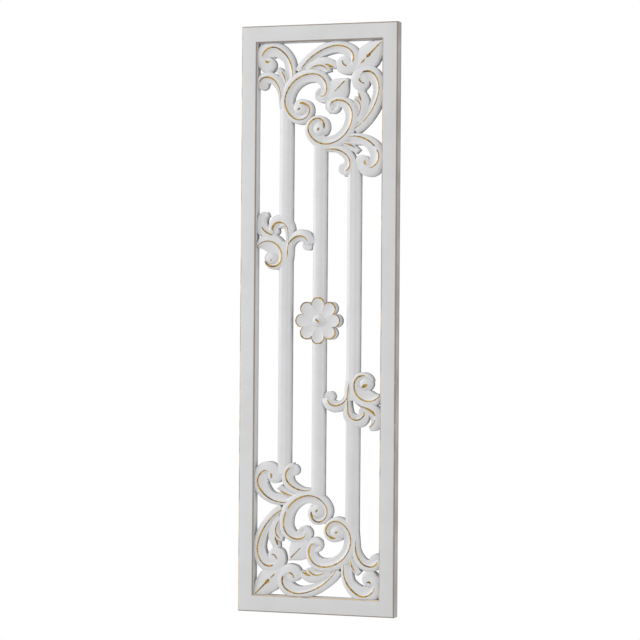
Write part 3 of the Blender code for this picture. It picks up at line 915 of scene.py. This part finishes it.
# White paint over the carving, with old gold rubbed along every ridge by finger,
# so the lines are thin, break off and thicken where the finger pressed.
CARVING_WHITE = (0.735, 0.735, 0.748)
CARVING_WHITE_THIN = (0.712, 0.709, 0.712)
GOLD_LIGHT = (0.56, 0.345, 0.045)
GOLD_DARK = (0.16, 0.09, 0.015)
PRESSURE_SCALE = 90.0
GRAIN_SCALE = 700.0
GAP_SCALE = 38.0
STREAK_SCALE = 330.0
WANDER = 0.0006

gold_group, given, result = new_group(
    "gold_rub",
    [("Float", "Spread", 1.0), ("Float", "Breaks", 0.3), ("Float", "Softness", 0.0004),
     ("Color", "Light gold", (0.6, 0.4, 0.1, 1)), ("Color", "Dark gold", (0.3, 0.2, 0.05, 1))],
    [("Float", "Mask"), ("Color", "Colour")])
place = gold_group.nodes.new("ShaderNodeTexCoord").outputs["Object"]


def uv_parts(tree, name):
    """The two numbers of one of the piece's UV maps."""
    uv = tree.nodes.new("ShaderNodeUVMap")
    uv.uv_map = name
    parts = split(tree, uv.outputs["UV"])
    return parts["X"], parts["Y"]


# Gold lies within the half width of its line, which wanders with the grain of the paint,
# widens and narrows with the finger's pressure, and is missing where the noise is low.
across = uv_parts(gold_group, "rub_line")[0]
half = uv_parts(gold_group, "rub_width")[0]
pressure = noise(gold_group, place, PRESSURE_SCALE)
grain = noise(gold_group, place, GRAIN_SCALE)
gaps = noise(gold_group, place, GAP_SCALE)
wander = calculate(gold_group, "MULTIPLY", calculate(gold_group, "SUBTRACT", grain, 0.5), WANDER)
off_line = calculate(gold_group, "ABSOLUTE", calculate(gold_group, "ADD", across, wander))
wide = calculate(gold_group, "MULTIPLY", calculate(gold_group, "MULTIPLY", half, given["Spread"]),
                 calculate(gold_group, "ADD", 0.35, calculate(gold_group, "MULTIPLY", pressure, 1.3)))
over = calculate(gold_group, "SUBTRACT", off_line, wide)
soft = calculate(gold_group, "MULTIPLY", given["Softness"], -1.0)
line = ramp(gold_group, over, given["Softness"], soft)
kept = ramp(gold_group, gaps, given["Breaks"], calculate(gold_group, "ADD", given["Breaks"], 0.04))
gold_group.links.new(calculate(gold_group, "MULTIPLY", line, kept), result["Mask"])
streaks = calculate(gold_group, "ADD", calculate(gold_group, "MULTIPLY", pressure, 0.5),
                    calculate(gold_group, "MULTIPLY", noise(gold_group, place, STREAK_SCALE), 0.5))
gold_group.links.new(blend(gold_group, ramp(gold_group, streaks, 0.4, 0.56),
                           given["Dark gold"], given["Light gold"]), result["Colour"])

carving_paint, tree, shader = new_material("carving_white_gold_rubbed", 0.42)
brushed = use_group(tree, paint_group, Paint=CARVING_WHITE, Thin_paint=CARVING_WHITE_THIN,
                    Patch_scale=35.0, Stroke_scale=320.0)
gold = use_group(tree, gold_group, Spread=1.21, Breaks=0.24, Softness=0.0002,
                 Light_gold=GOLD_LIGHT, Dark_gold=GOLD_DARK)
# a dark band of painted shade along the back of the carving's walls
shade_at_back = use_group(tree, back_shade_group, Depth=0.0078, Strength=0.92)
rubbed = blend(tree, gold["Mask"], brushed["Colour"], gold["Colour"])
tree.links.new(blend(tree, shade_at_back["Mask"], rubbed, BACK_SHADE_GREY), shader["Base Color"])
tree.links.new(calculate(tree, "MULTIPLY", gold["Mask"], 0.3), shader["Metallic"])
tree.links.new(relief(tree, brushed["Height"], *BRUSH_RELIEF), shader["Normal"])

carved_board = finished("carved_board", board, carving_paint)
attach(carved_board, "root")
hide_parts("fretwork")


# The studio: a plain pale floor below the hanging panel and white all round, with a
# broad light from the upper left front, one from the left side and one from the right.
FLOOR_COLOUR = (0.85, 0.85, 0.85)
FLOOR_DROP = 0.36
LIT_PLACE = (0, 0, -0.45)
floor_paint, tree, shader = new_material("pale_floor", 0.8)
shader["Base Color"].default_value = (*FLOOR_COLOUR, 1)
ground = bmesh.new()
bmesh.ops.create_grid(ground, x_segments=1, y_segments=1, size=1.5)
bmesh.ops.translate(ground, vec=(0, -0.2, PANEL_BOTTOM - FLOOR_DROP), verts=ground.verts)
floor = finished("floor", ground, floor_paint)

world = bpy.data.worlds.new("studio")
bpy.context.scene.world = world
world.use_nodes = True
nodes, links = world.node_tree.nodes, world.node_tree.links
seen = nodes["Background"]
seen.inputs["Color"].default_value = (1, 1, 1, 1)
seen.inputs["Strength"].default_value = 1.0
around = nodes.new("ShaderNodeBackground")
around.inputs["Color"].default_value = (0.995, 0.995, 1.0, 1)
around.inputs["Strength"].default_value = 0.465
choice = nodes.new("ShaderNodeMixShader")
links.new(nodes.new("ShaderNodeLightPath").outputs["Is Camera Ray"], choice.inputs["Fac"])
links.new(around.outputs["Background"], choice.inputs[1])
links.new(seen.outputs["Background"], choice.inputs[2])
links.new(choice.outputs["Shader"], nodes["World Output"].inputs["Surface"])


def add_light(name, location, size, power, colour):
    """A square area light that looks at the panel's middle."""
    light = bpy.data.lights.new(name, "AREA")
    light.size = size
    light.energy = power
    light.color = colour
    lamp = bpy.data.objects.new(name, light)
    lamp.location = location
    lamp.rotation_euler = (Vector(LIT_PLACE) - Vector(location)).to_track_quat("-Z", "Y").to_euler()
    bpy.context.scene.collection.objects.link(lamp)


add_light("key", (-1.5, -2.1, 2.0), size=1.0, power=29, colour=(1.0, 1.0, 1.0))
add_light("side", (-2.6, -0.7, 0.2), size=1.4, power=42, colour=(0.98, 0.99, 1.0))
add_light("fill", (2.9, -1.7, -0.2), size=1.8, power=30, colour=(1.0, 0.99, 0.98))

# The camera stands level with the panel's middle, about 3.4 m away and 18 degrees
# to its right, with a long lens: its place was fitted to the frame's corners in the photo.
camera = bpy.data.cameras.new("camera")
camera.sensor_width = 36.0
camera.lens = 123.75
camera.clip_end = 50.0
eye = bpy.data.objects.new("camera", camera)
eye.location = (1.03726, -3.20682, -0.45440)
eye.rotation_euler = (radians(90.2717), radians(-0.4258), radians(17.9476))
bpy.context.scene.collection.objects.link(eye)
bpy.context.scene.camera = eye
bpy.context.scene.view_settings.view_transform = "Standard"
